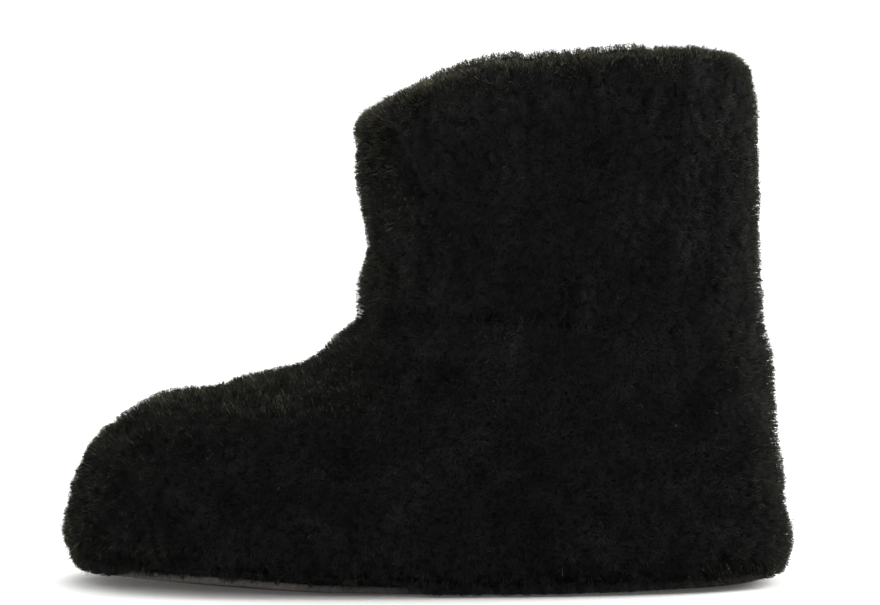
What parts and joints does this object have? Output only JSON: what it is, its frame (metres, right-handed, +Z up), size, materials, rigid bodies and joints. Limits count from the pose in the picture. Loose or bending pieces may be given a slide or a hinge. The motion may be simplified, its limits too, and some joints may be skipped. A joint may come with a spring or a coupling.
{
  "type": "sheepskin slipper",
  "caption": "Ankle-high black sheepskin slipper boot, wool side out, with a hollow foot and shaft open at the collar, a felt footbed and a soft brown leather sole.",
  "frame": {"origin": "on the floor, under the middle of the slipper's length and width", "axes": "+Z up, toe towards -X and heel towards +X, outer side of the left foot towards -Y"},
  "size_m": [0.2915, 0.1112, 0.2126],
  "materials": {
    "sheepskin": "dense short wool pile dyed black, matt",
    "sole_leather": "soft brown split leather, matt",
    "footbed_felt": "dark felted wool"
  },
  "bodies": {
    "root": {"outsole": "sole_leather", "insole": "footbed_felt", "upper": "sheepskin", "shaft": "sheepskin"}
  },
  "joints": []
}
